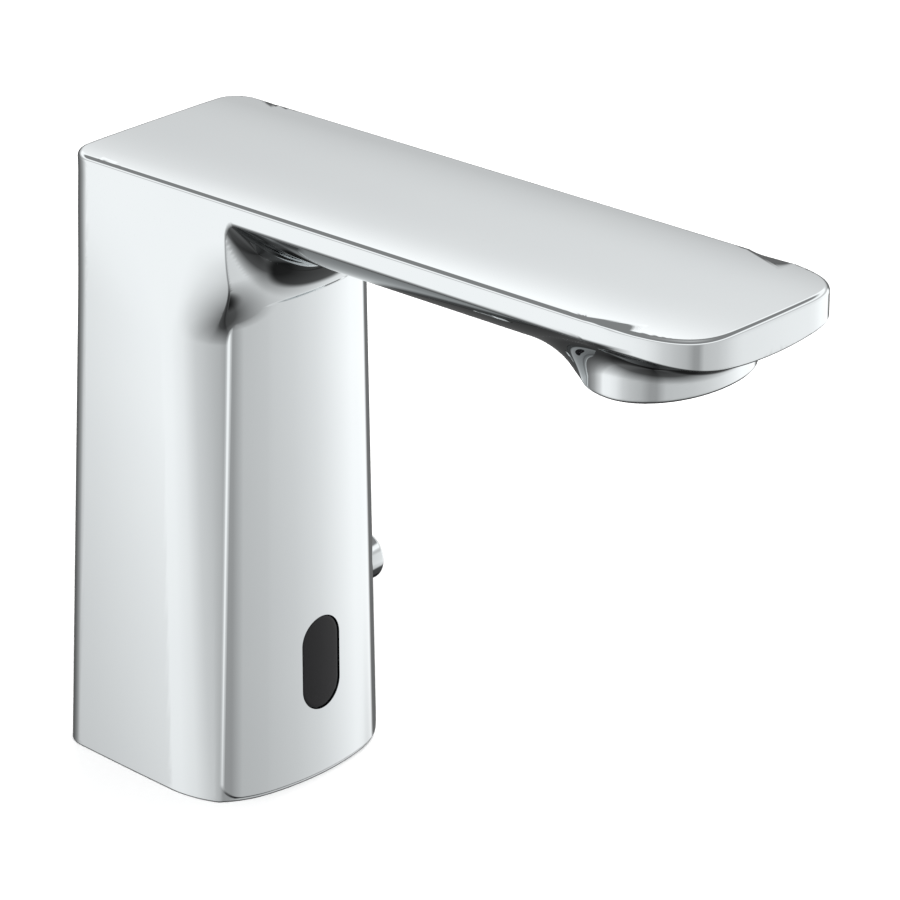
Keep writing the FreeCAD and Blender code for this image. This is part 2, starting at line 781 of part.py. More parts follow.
def make_cartridge():
    def on_axis(x):
        return vec(x, knob_y, knob_z)

    outer = cartridge_r
    inner = cartridge_r - cartridge_wall
    turning_start = cartridge_start + disc_thickness + fit_gap
    flange_start = turning_start + disc_thickness
    sleeve_end = flange_start + spindle_flange + fit_gap
    port_up = vec(0, 0, water_way_drop)
    fixed = rod(inner - fit_gap, on_axis(cartridge_start), ALONG_X, disc_thickness)
    ports = [rod(disc_port_r, on_axis(cartridge_start) + port_up * sign, ALONG_X, disc_thickness)
             for sign in (-1.0, 1.0)]
    nodes["fixed_disc"] = fixed.cut(ports)
    turning = rod(inner - fit_gap, on_axis(turning_start), ALONG_X, disc_thickness)
    nodes["turning_disc"] = turning.cut(rod(disc_port_r, on_axis(turning_start) + port_up, ALONG_X, disc_thickness))
    sleeve = tube(outer, inner, on_axis(cartridge_start), ALONG_X, sleeve_end - cartridge_start)
    outlet_x = flange_start + spindle_flange / 2.0
    nodes["cartridge_sleeve"] = sleeve.cut(rod(spindle_flange / 2.0, on_axis(outlet_x), ALONG_Y, outer))

    groove_r = spindle_r + ring_wire / 2.0
    groove_x = (sleeve_end + gland_end) / 2.0
    spindle = rod(spindle_flange_r, on_axis(flange_start), ALONG_X, spindle_flange)
    spindle = spindle.fuse(rod(spindle_r, on_axis(flange_start), ALONG_X, spindle_end - flange_start))
    nodes["mixing_spindle"] = spindle.cut(ring_seal(groove_r, ring_wire, on_axis(groove_x), ALONG_X))
    nodes["spindle_seal"] = ring_seal(groove_r, ring_wire - fit_gap, on_axis(groove_x), ALONG_X)
    gland = tube(outer, spindle_r + fit_gap, on_axis(sleeve_end), ALONG_X, gland_end - sleeve_end)
    pocket_half = ring_wire + 4.0 * fit_gap
    pocket = rod(groove_r + ring_wire + fit_gap, on_axis(groove_x - pocket_half), ALONG_X, 2.0 * pocket_half)
    nodes["gland_nut"] = gland.cut(pocket)

    knob = rod(knob_r, on_axis(knob_start), ALONG_X, knob_end - knob_start)
    rims = [edge for edge in knob.Edges if edge.BoundBox.XMin > knob_end - fit_gap]
    knob = knob.makeChamfer(knob_dome, rims)
    neck_x = cartridge_end + 2.0 * knob_gap
    knob = knob.fuse(rod(knob_neck_r, on_axis(neck_x), ALONG_X, knob_start - neck_x + knob_dome))
    screw_spot = vec(knob_start + knob_screw_depth, knob_y, knob_z - knob_r)
    knob = knob.cut([rod(spindle_r, on_axis(neck_x), ALONG_X, spindle_end - neck_x),
                     rod(knob_screw_r + fit_gap, screw_spot, UP, knob_r)])
    nodes["temperature_knob"] = knob
    screw_low = screw_spot + vec(0, 0, 2.0 * knob_gap)
    nodes["knob_screw"] = rod(knob_screw_r, screw_low, UP, knob_r - spindle_r - 2.0 * knob_gap)


def make_valve():
    def at(z):
        return vec(0, valve_y, z)

    screws = [on_circle(0, valve_y, 0, valve_screw_reach, index, 4, math.pi / 4.0) for index in range(4)]
    lugs = [rod(valve_lug_r, spot + UP * valve_bottom, UP, valve_base_height) for spot in screws]
    holes = [rod(valve_screw_r + fit_gap, spot + UP * valve_bottom, UP, cover_top - valve_bottom)
             for spot in screws]
    socket = rod(socket_r, vec(0, socket_y, valve_bottom), UP, socket_height)
    bridge = box(vec(-socket_r, socket_y, valve_bottom), vec(socket_r, valve_y, duct_z + duct_rise))
    base = rod(valve_r, at(valve_bottom), UP, valve_base_height).fuse([socket, bridge] + lugs)
    seat_top = hub_bottom - fit_gap
    rim_seat = rod(diaphragm_r + fit_gap, at(seat_top), UP, valve_rim - seat_top)
    chamber = tube(chamber_r, main_seat_r + main_seat_wall, at(chamber_floor), UP, valve_rim - chamber_floor)
    seal_spot = vec(0, socket_y, tube_seal_z)
    base = base.cut([rim_seat, chamber, ring_seal(tube_r, ring_wire, seal_spot, UP),
                     rod(main_seat_r, at(duct_z), UP, valve_rim - duct_z),
                     rod(main_seat_r, vec(0, socket_y, duct_z), ALONG_Y, valve_y - socket_y),
                     rod(main_seat_r, vec(0, socket_y, duct_z), UP, socket_height),
                     rod(tube_r + fit_gap, vec(0, socket_y, tube_seat), UP, tube_plug),
                     rod(riser_r, vec(0, riser_y, valve_bottom), UP, valve_base_height)])
    nodes["valve_body"] = base.cut(holes)

    nodes["diaphragm"] = tube(diaphragm_r, hub_neck_r, at(hub_bottom), UP, diaphragm_thickness)
    hub = rod(hub_r, at(valve_rim), UP, hub_height - diaphragm_thickness)
    hub = hub.fuse(rod(hub_neck_r, at(hub_bottom), UP, hub_height))
    nodes["diaphragm_hub"] = hub.cut(rod(pilot_r, at(hub_bottom), UP, hub_height))

    sunk = cover_top - valve_screw_sink
    pockets = [rod(2.0 * valve_screw_r, spot + UP * sunk, UP, valve_screw_sink) for spot in screws]
    cover_lugs = [rod(valve_lug_r, spot + UP * valve_rim, UP, cover_height - valve_screw_sink) for spot in screws]
    cover = rod(valve_r, at(valve_rim), UP, cover_height).fuse(cover_lugs)
    nodes["valve_cover"] = cover.cut([rod(chamber_r, at(valve_rim), UP, core_bottom - valve_rim),
                                      rod(core_r + fit_gap, at(valve_rim), UP, cover_height)] + holes + pockets)
    bolts = []
    for spot in screws:
        head = rod(1.8 * valve_screw_r, spot + UP * sunk, UP, valve_screw_sink * 0.6)
        shaft = rod(valve_screw_r, spot + UP * (valve_bottom + valve_screw_sink), UP,
                    sunk - valve_bottom - valve_screw_sink)
        bolts.append(head.fuse(shaft))
    nodes["valve_screws"] = Part.makeCompound(bolts)

    core = rod(core_r, at(core_bottom), UP, core_top - core_bottom)
    nodes["core_tube"] = core.cut(rod(plunger_r + fit_gap, at(core_bottom), UP, core_bore_top - core_bottom))
    plunger = rod(plunger_r, at(plunger_bottom + plunger_tip), UP, plunger_height - plunger_tip)
    plunger = plunger.fuse(rod(plunger_tip_r, at(plunger_bottom), UP, plunger_tip))
    spring_z = plunger_top - plunger_bore
    nodes["plunger"] = plunger.cut(rod(plunger_spring_r + 2.0 * spring_wire_r, at(spring_z), UP, plunger_bore))
    nodes["plunger_spring"] = coil_spring(plunger_spring_r, spring_z, core_bore_top, 0, valve_y)

    nodes["solenoid_coil"] = tube(coil_r, core_r + fit_gap, at(coil_bottom), UP, coil_height)
    reach = coil_r + frame_thickness
    frame = box(vec(-reach, valve_y - frame_half_width, cover_top),
                vec(reach, valve_y + frame_half_width, nut_bottom))
    hollow = box(vec(-coil_r, valve_y - valve_r, coil_bottom), vec(coil_r, valve_y + valve_r, frame_top))
    nodes["coil_frame"] = frame.cut([hollow, rod(core_r + fit_gap, at(cover_top), UP, core_top - cover_top)])
    nodes["coil_nut"] = tube(nut_r, core_r, at(nut_bottom), UP, nut_height)


def make_water_way():
    seal_spot = vec(0, socket_y, tube_seal_z)
    pipe = bent_tube(tube_r).cut(bent_tube(tube_r - tube_wall))
    nodes["spout_tube"] = pipe.cut(ring_seal(tube_r, ring_wire, seal_spot, UP))
    nodes["tube_seal"] = ring_seal(tube_r, ring_wire - fit_gap, seal_spot, UP)

    def at(z):
        return vec(0, outlet_y, z)

    nest_bottom = housing_bottom + nest_recess
    nest = rod(nest_r, at(nest_bottom), UP, nest_top - nest_bottom)
    nest = nest.fuse(rod(nest_socket_r, at(tube_z), ALONG_Y, nest_socket_end - outlet_y))
    nest = nest.cut([rod(cage_r + fit_gap, at(nest_bottom), UP, chamber_bottom - nest_bottom),
                     rod(nest_chamber_r, at(chamber_bottom), UP, nest_chamber_height),
                     rod(tube_r - tube_wall, at(tube_z), ALONG_Y, nest_socket_end - outlet_y),
                     rod(tube_r + fit_gap, vec(0, tube_end, tube_z), ALONG_Y, nest_socket_end - tube_end)])
    nodes["aerator_nest"] = nest

    cage = tube(cage_r, cage_r - cage_wall, at(cage_bottom), UP, cage_height)
    nodes["aerator_cage"] = cage.fuse(tube(cage_r, cage_r - cage_wall - cage_lip, at(cage_bottom), UP, cage_lip))
    insert_r = cage_r - cage_wall - fit_gap
    insert_bottom = cage_bottom + cage_lip
    insert_height = gasket_bottom - insert_bottom
    holes = []
    for ring in (1, 2, 3):
        for index in range(6 * ring):
            spot = on_circle(0, outlet_y, insert_bottom, insert_pitch * ring, index, 6 * ring)
            holes.append(hex_hole(insert_hole_r, spot, insert_height))
    nodes["aerator_insert"] = rod(insert_r, at(insert_bottom), UP, insert_height).cut(holes)
    nodes["aerator_gasket"] = tube(cage_r, cage_r - gasket_width, at(gasket_bottom), UP, gasket_thickness)


def make_sensor():
    rim_half = window_half_width + window_flange
    rim_tall = window_half_height + window_flange
    window = stadium(window_half_width - window_gap, window_half_height - window_gap, front_apex, tray_start)
    flange = stadium(rim_half, rim_tall, lens_flange_start, tray_start)
    nodes["sensor_window"] = window.common(column_solid(lens_recess, 0.0, column_roof)).fuse(flange)
    seal = stadium(rim_half, rim_tall, window_seal_front, lens_flange_start)
    seal_hole = stadium(window_half_width, window_half_height, window_seal_front, lens_flange_start)
    nodes["window_gasket"] = seal.cut(seal_hole)

    low_z = window_z - tray_half_height
    high_z = window_z + tray_half_height
    inner_half = tray_half_width - tray_wall
    tray = box(vec(-tray_half_width, tray_start, low_z), vec(tray_half_width, board_back + tray_wall, high_z))
    hollow = box(vec(-inner_half, tray_start, low_z + tray_wall), vec(inner_half, board_back, high_z - tray_wall))
    ears = []
    ear_holes = []
    screws = []
    for sign in (-1.0, 1.0):
        side = sign * inner_half
        end = sign * (ear_x + ear_reach)
        ears.append(box(vec(min(side, end), ear_front, window_z - ear_half_height),
                        vec(max(side, end), ear_front + ear_thickness, window_z + ear_half_height)))
        face = vec(sign * ear_x, ear_front + ear_thickness, window_z)
        ear_holes.append(rod(sensor_screw_r, face, -ALONG_Y, ear_thickness))
        head = rod(sensor_screw_head_r, face, ALONG_Y, sensor_screw_head)
        screws.append(head.fuse(rod(sensor_screw_r, face, -ALONG_Y, ear_thickness + sensor_screw_depth)))
    nodes["sensor_housing"] = tray.cut(hollow).fuse(ears).cut(ear_holes)
    nodes["sensor_screws"] = Part.makeCompound(screws)
    inset = tray_wall + board_gap
    nodes["sensor_board"] = box(vec(-tray_half_width + inset, board_front, low_z + inset),
                                vec(tray_half_width - inset, board_back, high_z - inset))
    for name, sign in (("ir_emitter", 1.0), ("ir_receiver", -1.0)):
        foot = vec(0, board_front, window_z + sign * diode_spacing / 2.0)
        barrel = rod(diode_r, foot, -ALONG_Y, diode_length)
        dome = Part.makeCone(diode_r, diode_r / 2.0, diode_r, foot - ALONG_Y * diode_length, -ALONG_Y)
        collar = rod(diode_r + diode_collar, foot, -ALONG_Y, diode_collar_height)
        nodes[name] = barrel.fuse([dome, collar])


nodes["body_shell"] = make_body_shell()
make_foot()
make_mixing_block()
make_check_valves()
make_cartridge()
make_valve()
make_water_way()
make_sensor()

os.makedirs("parts", exist_ok=True)
for name, shape in nodes.items():
    shape.exportStep(os.path.join("parts", name + ".step"))
    box_of = shape.BoundBox
    print(name, "solids", len(shape.Solids), "valid", shape.isValid(), "volume", round(shape.Volume, 1),
          "x %.1f..%.1f y %.1f..%.1f z %.1f..%.1f" % (box_of.XMin, box_of.XMax, box_of.YMin,
                                                     box_of.YMax, box_of.ZMin, box_of.ZMax))
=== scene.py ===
import bpy
import json
import math
import numpy as np
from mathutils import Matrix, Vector


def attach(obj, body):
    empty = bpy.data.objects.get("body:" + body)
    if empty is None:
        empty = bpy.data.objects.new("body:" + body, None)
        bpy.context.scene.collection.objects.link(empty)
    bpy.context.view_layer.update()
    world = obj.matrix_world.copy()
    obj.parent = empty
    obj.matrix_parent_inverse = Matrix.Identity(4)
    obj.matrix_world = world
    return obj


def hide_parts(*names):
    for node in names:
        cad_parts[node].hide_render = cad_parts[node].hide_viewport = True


# Sensor tap on its deck: chrome body, temperature knob, sensor lens and what shows of the inside.
# Shapes are worked out in millimetres and put into meshes in metres.

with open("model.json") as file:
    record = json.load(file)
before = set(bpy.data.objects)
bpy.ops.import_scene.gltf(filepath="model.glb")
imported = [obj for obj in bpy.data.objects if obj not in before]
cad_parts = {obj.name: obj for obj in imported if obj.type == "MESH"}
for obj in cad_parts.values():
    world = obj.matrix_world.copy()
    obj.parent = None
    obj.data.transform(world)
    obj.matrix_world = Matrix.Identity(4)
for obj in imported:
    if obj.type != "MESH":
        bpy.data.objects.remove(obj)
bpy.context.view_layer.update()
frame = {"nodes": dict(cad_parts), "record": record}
nodes = frame["nodes"]
print("frame loaded:", len(nodes), "nodes")

mm = 0.001
scene = bpy.context.scene

# a long lens, as for a catalogue picture; places in metres
cameraView = {"place": (-0.7152, -0.7070, 0.5034), "target": (0.03186, -0.03440, 0.0725), "lens": 196.1,
              "sensor": 36, "near": 0.05, "far": 20}


def aim(made, place, target):
    # puts a camera or a lamp at a place and turns it to its target
    made.location = place
    made.rotation_mode = "QUATERNION"
    made.rotation_quaternion = (Vector(target) - Vector(place)).to_track_quat("-Z", "Y")


cameraData = bpy.data.cameras.new("camera")
cameraData.sensor_width = cameraView["sensor"]
cameraData.lens = cameraView["lens"]
cameraData.clip_start = cameraView["near"]
cameraData.clip_end = cameraView["far"]
camera = bpy.data.objects.new("camera", cameraData)
scene.collection.objects.link(camera)
aim(camera, cameraView["place"], cameraView["target"])
scene.camera = camera
scene.view_settings.view_transform = "Standard"


def linear(hexColour):
    # sRGB hex to linear: c/12.92 below 0.04045, else ((c + 0.055)/1.055)^2.4
    parts = [int(hexColour[i:i + 2], 16) / 255 for i in (1, 3, 5)]
    return tuple(c / 12.92 if c <= 0.04045 else ((c + 0.055) / 1.055) ** 2.4 for c in parts) + (1.0,)


def addNode(tree, kind, inputs=None, **settings):
    # adds one node; an input is a value, or an output socket to link from
    made = tree.nodes.new(kind)
    for name, value in settings.items():
        setattr(made, name, value)
    for name, value in (inputs or {}).items():
        if isinstance(value, bpy.types.NodeSocket):
            tree.links.new(value, made.inputs[name])
        else:
            made.inputs[name].default_value = value
    return made


# chrome body in mm: +Z up, the spout towards -Y; "core" is the line that the rings are centred on
bodyShape = {
    "height": 145.0, "band": 5.0, "wall": 3.0, "roof": 118.0,
    "backAtDeck": 33.6, "backAtTop": 25.2, "backCorner": 6.5,
    "flankBack": 26.3, "flankFront": 28.2, "half": 26.6, "softStart": -4.0, "flankBow": 0.5,
    "apex": -24.6, "bowMiddle": 0.6, "bowDrop": 0.245,
    "panelHalf": 25.4, "panelNarrowing": 4.8, "panelLow": -17.4, "panelHigh": -19.1,
    "stripLow": 0.7, "stripHigh": 1.7, "stripX": 0.35, "stripY": 0.94,
    "neckZ": 116.5, "neckR": 11.0, "neckSideR": 2.2,
    "sideStart": 109.0, "sideOut": 31.0, "sideOn": 17.0, "sideFront": -23.1, "sideInset": 0.2,
    "sideBlend": 8.0,
    "padStep": 0.55, "padInset": 0.15, "padLow": 1.0, "padHigh": 117.6, "padLowCorner": 3.5,
    "padHighCorner": 5.5, "padEdge": 0.3, "padFillet": 0.25,
    "tip": -150.4, "tipAcross": 16.6, "tipAlong": 28.0, "tipPower": 3.2, "tipBow": 0.8,
    "belly": 12.2, "bellyEnd": 3.2, "bellyRise": -98.0,
    "topEdge": 1.2, "crispEdge": 0.35, "footEdge": 0.5, "crown": 0.35,
    "coreY": 2.0, "coreLift": 20.5, "coreEnd": 141.8,
}
# how finely shapes are cast: steps of the march out, halvings, longest ray in mm, points of the first pass
castSteps = {"march": 40, "halvings": 26, "reach": 90, "dense": 500}


def mixed(start, end, share):
    return start + (end - start) * share


def eased(share):
    share = np.clip(share, 0, 1)
    return share * share * (3 - 2 * share)


def roundMax(a, b, radius):
    # inside both fields, their edge rounded to a quarter circle
    corner = np.hypot(np.maximum(a + radius, 0), np.maximum(b + radius, 0))
    return np.minimum(-radius, np.maximum(a, b)) + corner


def roundMin(a, b, radius):
    # inside either field, their inner corner filled with a hollow quarter circle
    return -roundMax(-a, -b, radius)


def ovalField(a, b, across, along, power):
    # superellipse G = (a^p + b^p)^(1/p) of shares a and b, as a distance: (G - 1) / |grad G|
    g = np.maximum(a ** power + b ** power, 1e-12) ** (1 / power)
    steep = np.hypot(a ** (power - 1) / across, b ** (power - 1) / along) * g ** (1 - power)
    return (g - 1) / np.maximum(steep, 1e-6), g


def bowField(x, y, endX, endY, apex):
    # front in three arcs: a flat middle arc through the apex, and a tighter arc to each end
    midX = bodyShape["bowMiddle"] * endX
    drop = bodyShape["bowDrop"] * (endY - apex)
    midR = (midX ** 2 + drop ** 2) / (2 * drop)
    slope = np.arcsin(midX / midR)
    breakY = apex + drop
    chordX, chordY = endX - midX, endY - breakY
    sideR = (chordX ** 2 + chordY ** 2) / (2 * (chordY * np.cos(slope) - chordX * np.sin(slope)))
    centreX, centreY = midX - sideR * np.sin(slope), breakY + sideR * np.cos(slope)
    middle = np.hypot(x, y - apex - midR) - midR
    side = np.hypot(x - centreX, np.minimum(y - centreY, 0)) - sideR
    beyond = (x - midX) * np.cos(slope) + (y - breakY) * np.sin(slope)
    return np.where(beyond > 0, side, middle)


def panelEdge(z):
    # side end of the front panel, and the end of the strip beside it
    s = bodyShape
    low = np.clip(z / s["neckZ"], 0, 1)
    x = s["panelHalf"] - s["panelNarrowing"] * z / (s["height"] - s["band"])
    y = mixed(s["panelLow"], s["panelHigh"], low)
    strip = mixed(s["stripLow"], s["stripHigh"], low)
    return x, y, x + s["stripX"] * strip, y + s["stripY"] * strip


def flankField(x, y, share, softX, softY):
    # long flank that draws in a little to the back, then an arc tangent to it, up to the soft corner's end
    s = bodyShape
    back = mixed(s["backAtDeck"], s["backAtTop"], share)
    flankBack, flankFront = mixed(s["flankBack"], s["half"], share), mixed(s["flankFront"], s["half"], share)
    alongX, alongY = flankBack - flankFront, back - s["softStart"]
    size = np.hypot(alongX, alongY)
    alongX, alongY = alongX / size, alongY / size
    ahead = (x - flankFront) * alongX + (y - s["softStart"]) * alongY
    straight = (x - flankFront) * alongY - (y - s["softStart"]) * alongX
    straight = straight + s["flankBow"] * np.maximum(ahead / size, 0) ** 2
    chordX, chordY = softX - flankFront, softY - s["softStart"]
    inward = chordY * alongX - chordX * alongY
    radius = (chordX ** 2 + chordY ** 2) / (2 * inward)
    arc = np.hypot(x - flankFront + radius * alongY, y - s["softStart"] - radius * alongX) - radius
    return np.where(ahead > 0, straight, arc)


def tipField(x, y):
    # superellipse corner of the spout's tip, whose face bows a little; well inside it, the nearer plane
    s = bodyShape
    y = y - s["tipBow"] * (x / s["half"]) ** 2
    a = np.maximum(x - s["half"] + s["tipAcross"], 0) / s["tipAcross"]
    b = np.maximum(s["tip"] + s["tipAlong"] - y, 0) / s["tipAlong"]
    near, g = ovalField(a, b, s["tipAcross"], s["tipAlong"], s["tipPower"])
    return np.where(g > 0.3, near, np.maximum(x - s["half"], s["tip"] - y))


def bellyArc(y):
    # radius and centre height of the belly's arc: its depth falls with the square of the way to the tip
    s = bodyShape
    share = np.clip((s["bellyRise"] - y) / (s["bellyRise"] - s["tip"]), 0, 1)
    depth = mixed(s["belly"], s["bellyEnd"], share ** 2)
    radius = (s["half"] ** 2 + depth ** 2) / (2 * depth)
    return radius, s["height"] - s["band"] - depth + radius


def bellyField(x, y, z):
    # underside of the spout
    radius, centreZ = bellyArc(y)
    return np.hypot(x, np.minimum(z - centreZ, 0)) - radius


def columnPlain(x, y, z):
    # column with the panel's own surface, for the inner wall
    s = bodyShape
    share = z / (s["height"] - s["band"])
    panelX, panelY, softX, softY = panelEdge(z)
    side = flankField(x, y, share, softX, softY)
    front = bowField(x, y, panelX, panelY, s["apex"])
    back = y - mixed(s["backAtDeck"], s["backAtTop"], share)
    return np.maximum(roundMax(side, back, s["backCorner"]), front)


def bodyField(x, y, z):
    # distance to the chrome body's outside, negative inside
    s = bodyShape
    x = np.abs(x)
    inColumn = np.clip(z, 0, s["height"] - s["band"])
    share = inColumn / (s["height"] - s["band"])
    panelX, panelY, softX, softY = panelEdge(inColumn)
    # the column's soft corner runs out to the spout's side
    outward = eased((z - s["sideStart"]) / s["sideOut"])
    onward = eased((z - s["sideStart"]) / s["sideOn"])
    endX = mixed(softX, s["half"] - s["sideInset"], outward)
    endY = mixed(softY, s["sideFront"], onward)
    spout = 1 - (1 - outward) * (1 - eased((s["sideFront"] - y) / s["sideBlend"]))
    side = mixed(flankField(x, y, share, endX, endY), tipField(x, y), spout)
    back = y - mixed(s["backAtDeck"], s["backAtTop"], share)
    around = roundMax(side, back, s["backCorner"])
    # front wall under the belly, the hollow between them tighter towards the side
    wall = bowField(x, y, endX, endY, s["apex"] + s["padStep"])
    hollow = mixed(s["neckR"], s["neckSideR"], np.clip(x / s["half"], 0, 1) ** 3)
    under = roundMin(wall, bellyField(x, y, z), hollow)
    body = roundMax(around, under, s["crispEdge"])
    # raised pad with rounded corners
    outline = roundMax(x - panelX + s["padInset"], z - s["padHigh"], s["padHighCorner"])
    outline = roundMax(outline, s["padLow"] - z, s["padLowCorner"])
    pad = roundMax(outline, bowField(x, y, panelX, panelY, s["apex"]), s["padEdge"])
    body = roundMin(body, np.maximum(pad, y), s["padFillet"])
    top = z - s["height"] + s["crown"] * (x / s["half"]) ** 4
    body = roundMax(body, top, s["topEdge"])
    return roundMax(body, -z, s["footEdge"])


def normalsOf(field, points):
    # unit gradient by central differences
    step = 0.01
    slopes = [field(*(points + step * axis).T) - field(*(points - step * axis).T) for axis in np.eye(3)]
    slopes = np.stack(slopes, -1)
    return slopes / np.maximum(np.linalg.norm(slopes, axis=-1, keepdims=True), 1e-9)


def castOut(field, origins, directions, reach):
    # first crossing from inside to outside along each ray: a coarse march, then halving
    steps = castSteps["march"]
    low = np.zeros(len(origins))
    found = np.zeros(len(origins), bool)
    for k in range(1, steps + 1):
        far = np.full(len(origins), reach * k / steps)
        outside = field(*(origins + directions * far[:, None]).T) > 0
        found |= outside
        low = np.where(found, low, far)
    high = low + reach / steps
    for _ in range(castSteps["halvings"]):
        middle = (low + high) / 2
        outside = field(*(origins + directions * middle[:, None]).T) > 0
        high = np.where(outside, middle, high)
        low = np.where(outside, low, middle)
    return origins + directions * low[:, None]


def castRing(field, centre, down, turns):
    # rays in the plane of x and the down direction; turn 0 points down, pi points up
    directions = np.stack([np.sin(turns), np.cos(turns) * down[0], np.cos(turns) * down[1]], -1)
    origins = np.broadcast_to(np.array([0.0, centre[0], centre[1]]), directions.shape)
    return castOut(field, origins, directions, castSteps["reach"])


def evenSteps(points, normals, values, count, bendWeight):
    # values along a line of points, so that each step has the same share of its length and of its bend
    length = np.linalg.norm(np.diff(points, axis=0), axis=1)
    bend = np.linalg.norm(np.diff(normals, axis=0), axis=1)
    measure = (1 - bendWeight) * length / length.sum() + bendWeight * bend / bend.sum()
    total = np.concatenate([[0], np.cumsum(measure)])
    return np.interp(np.linspace(0, total[-1], count), total, values)


def evenTurns(field, centre, down, count, bendWeight):
    dense = np.linspace(0, math.pi, castSteps["dense"])
    points = castRing(field, centre, down, dense)
    return evenSteps(points, normalsOf(field, points), dense, count, bendWeight)


def wholeRing(half):
    # mirrors the half from x >= 0, leaving out the two points on the middle plane
    other = half[-2:0:-1] * np.array([-1.0, 1.0, 1.0])
    half = half.copy()
    half[[0, -1], 0] = 0
    return np.concatenate([half, other])


def skinRings(field, planes, count):
    # every ring's turns, averaged with its neighbours' so that the columns of points run on without a jump
    turns = np.stack([evenTurns(field, centre, down, count, 0.55) for centre, down in planes])
    weights = np.array([1, 2, 3, 4, 5, 4, 3, 2, 1]) / 25
    padded = np.pad(turns, ((4, 4), (0, 0)), mode="edge")
    turns = sum(weight * padded[k:k + len(turns)] for k, weight in enumerate(weights))
    return [wholeRing(castRing(field, centre, down, turn)) for (centre, down), turn in zip(planes, turns)]


def bodyPlanes():
    # path of the rings: up the column, round the neck's inner corner, along the spout; close where it bends
    s = bodyShape
    heights = np.concatenate([
        s["footEdge"] * (1 - np.cos(np.linspace(0, math.pi / 2, 7))), [0.75],
        np.linspace(1.0, 1.9, 7), np.linspace(2.2, 5.4, 9), np.linspace(9, 98, 12),
        np.linspace(99.5, 111.5, 17), np.linspace(112, s["neckZ"] - 0.25, 14)])
    planes = [((s["coreY"], z), (-1.0, 0.0)) for z in heights]
    turns = np.radians(np.concatenate([
        np.arange(0, 7, 0.4), np.arange(7, 23.4, 1.1), np.arange(23.5, 26.1, 0.13),
        np.arange(26.2, 29, 0.28), np.linspace(29.5, 90, 34)]))
    pivotY = s["apex"] - s["neckR"]
    for turn in turns:
        reach = mixed(s["coreY"] - pivotY, s["coreLift"], eased(turn / (math.pi / 2)))
        c, k = math.cos(turn), math.sin(turn)
        planes.append(((pivotY + reach * c, s["neckZ"] + reach * k), (-c, -k)))
    # the tip's rings follow its superellipse: 1 - (1 - c^p)^(1/p)
    corner = np.linspace(1, 0, 33)[:-1] ** 0.8
    offsets = s["tipAlong"] * (1 - (1 - corner ** s["tipPower"]) ** (1 / s["tipPower"]))
    runs = np.concatenate([np.linspace(pivotY - 5, s["bellyRise"], 11),
                           np.linspace(s["bellyRise"] - 3, -121, 9), s["tip"] + np.maximum(offsets, 0.0003)])
    for y in runs:
        rise = eased((s["bellyRise"] - y) / (s["bellyRise"] - s["tip"]))
        planes.append(((y, mixed(s["neckZ"] + s["coreLift"], s["coreEnd"], rise)), (0.0, -1.0)))
    return planes


def gridFaces(rows, columns):
    # quads between neighbouring rings
    i, j = np.meshgrid(np.arange(rows - 1), np.arange(columns), indexing="ij")
    k = (j + 1) % columns
    low, high = i * columns, (i + 1) * columns
    return np.stack([low + j, low + k, high + k, high + j], -1).reshape(-1, 4).tolist()


def meshObject(name, points, faces):
    # puts points in mm and faces into a mesh in metres; turns it right side out by its volume
    corners = np.array([[face[0], face[k], face[k + 1]] for face in faces for k in range(1, len(face) - 1)])
    a, b, c = points[corners[:, 0]], points[corners[:, 1]], points[corners[:, 2]]
    if np.einsum("ij,ij->i", a, np.cross(b, c)).sum() < 0:
        faces = [face[::-1] for face in faces]
    mesh = bpy.data.meshes.new(name)
    mesh.from_pydata((points * mm).tolist(), [], faces)
    mesh.update()
    made = bpy.data.objects.new(name, mesh)
    scene.collection.objects.link(made)
    return made


def closedSkin(name, rows, firstPole, lastPole):
    # skin through rings of one count, closed at both ends by a fan to a pole
    count = len(rows[0])
    j = np.arange(count)
    k = (j + 1) % count
    lastRow, pole = (len(rows) - 1) * count, len(rows) * count
    fans = np.concatenate([np.stack([np.full(count, pole), k, j], -1),
                           np.stack([np.full(count, pole + 1), lastRow + j, lastRow + k], -1)])
    points = np.concatenate(rows + [np.array([firstPole, lastPole])])
    return meshObject(name, points, gridFaces(len(rows), count) + fans.tolist())


def buildBody():
    s = bodyShape
    count = 130

    def innerField(x, y, z):
        return columnPlain(np.abs(x), y, z) + s["wall"]

    rings = skinRings(bodyField, bodyPlanes(), count)
    tip = rings[-1]
    middle = np.array([0.0, tip[0][1], tip[:, 2].mean()])
    capRings = [mixed(middle, tip, share) for share in (0.8, 0.5, 0.2)]
    inner = []
    for z in (0.0, 30.0, 60.0, 90.0, s["roof"] - 0.1):
        plane = ((s["coreY"], z), (-1.0, 0.0))
        inner.append(wholeRing(castRing(innerField, *plane, evenTurns(innerField, *plane, count, 0.3))))
    roof = np.array([0.0, s["coreY"], s["roof"]])
    roofRings = [mixed(roof, inner[-1], share) for share in (0.7, 0.3)]
    for ring in roofRings:
        ring[:, 2] = s["roof"]
    rows = roofRings[::-1] + inner[::-1] + rings + capRings
    print("body rings", len(rows), "points round", len(tip))
    return closedSkin("chrome_body", rows, roof, middle)


# what is cut into the body, in mm; "cut" is where each hole starts and ends along its axis
lensShape = {"z": 28.3, "halfWidth": 6.0, "halfHeight": 11.35, "gap": 0.15, "recess": 0.3, "back": -20.2,
             "cut": (-30.0, -18.0)}
knobShape = {"y": -6.5, "z": 38.0, "hole": 4.6, "radius": 5.8, "start": 28.3, "end": 34.4, "neckStart": 22.0,
             "neck": 4.2, "backEdge": 0.4, "edge": 0.9, "dome": 0.15, "cut": (20.0, 36.0)}
outletShape = {"y": -124.0, "hole": 12.45, "cut": (118.0, 140.9)}
roundCount = 96


def circleWays(count):
    # cosines and sines of evenly spaced turns
    turns = np.linspace(0, 2 * math.pi, count, endpoint=False)
    return np.cos(turns), np.sin(turns)


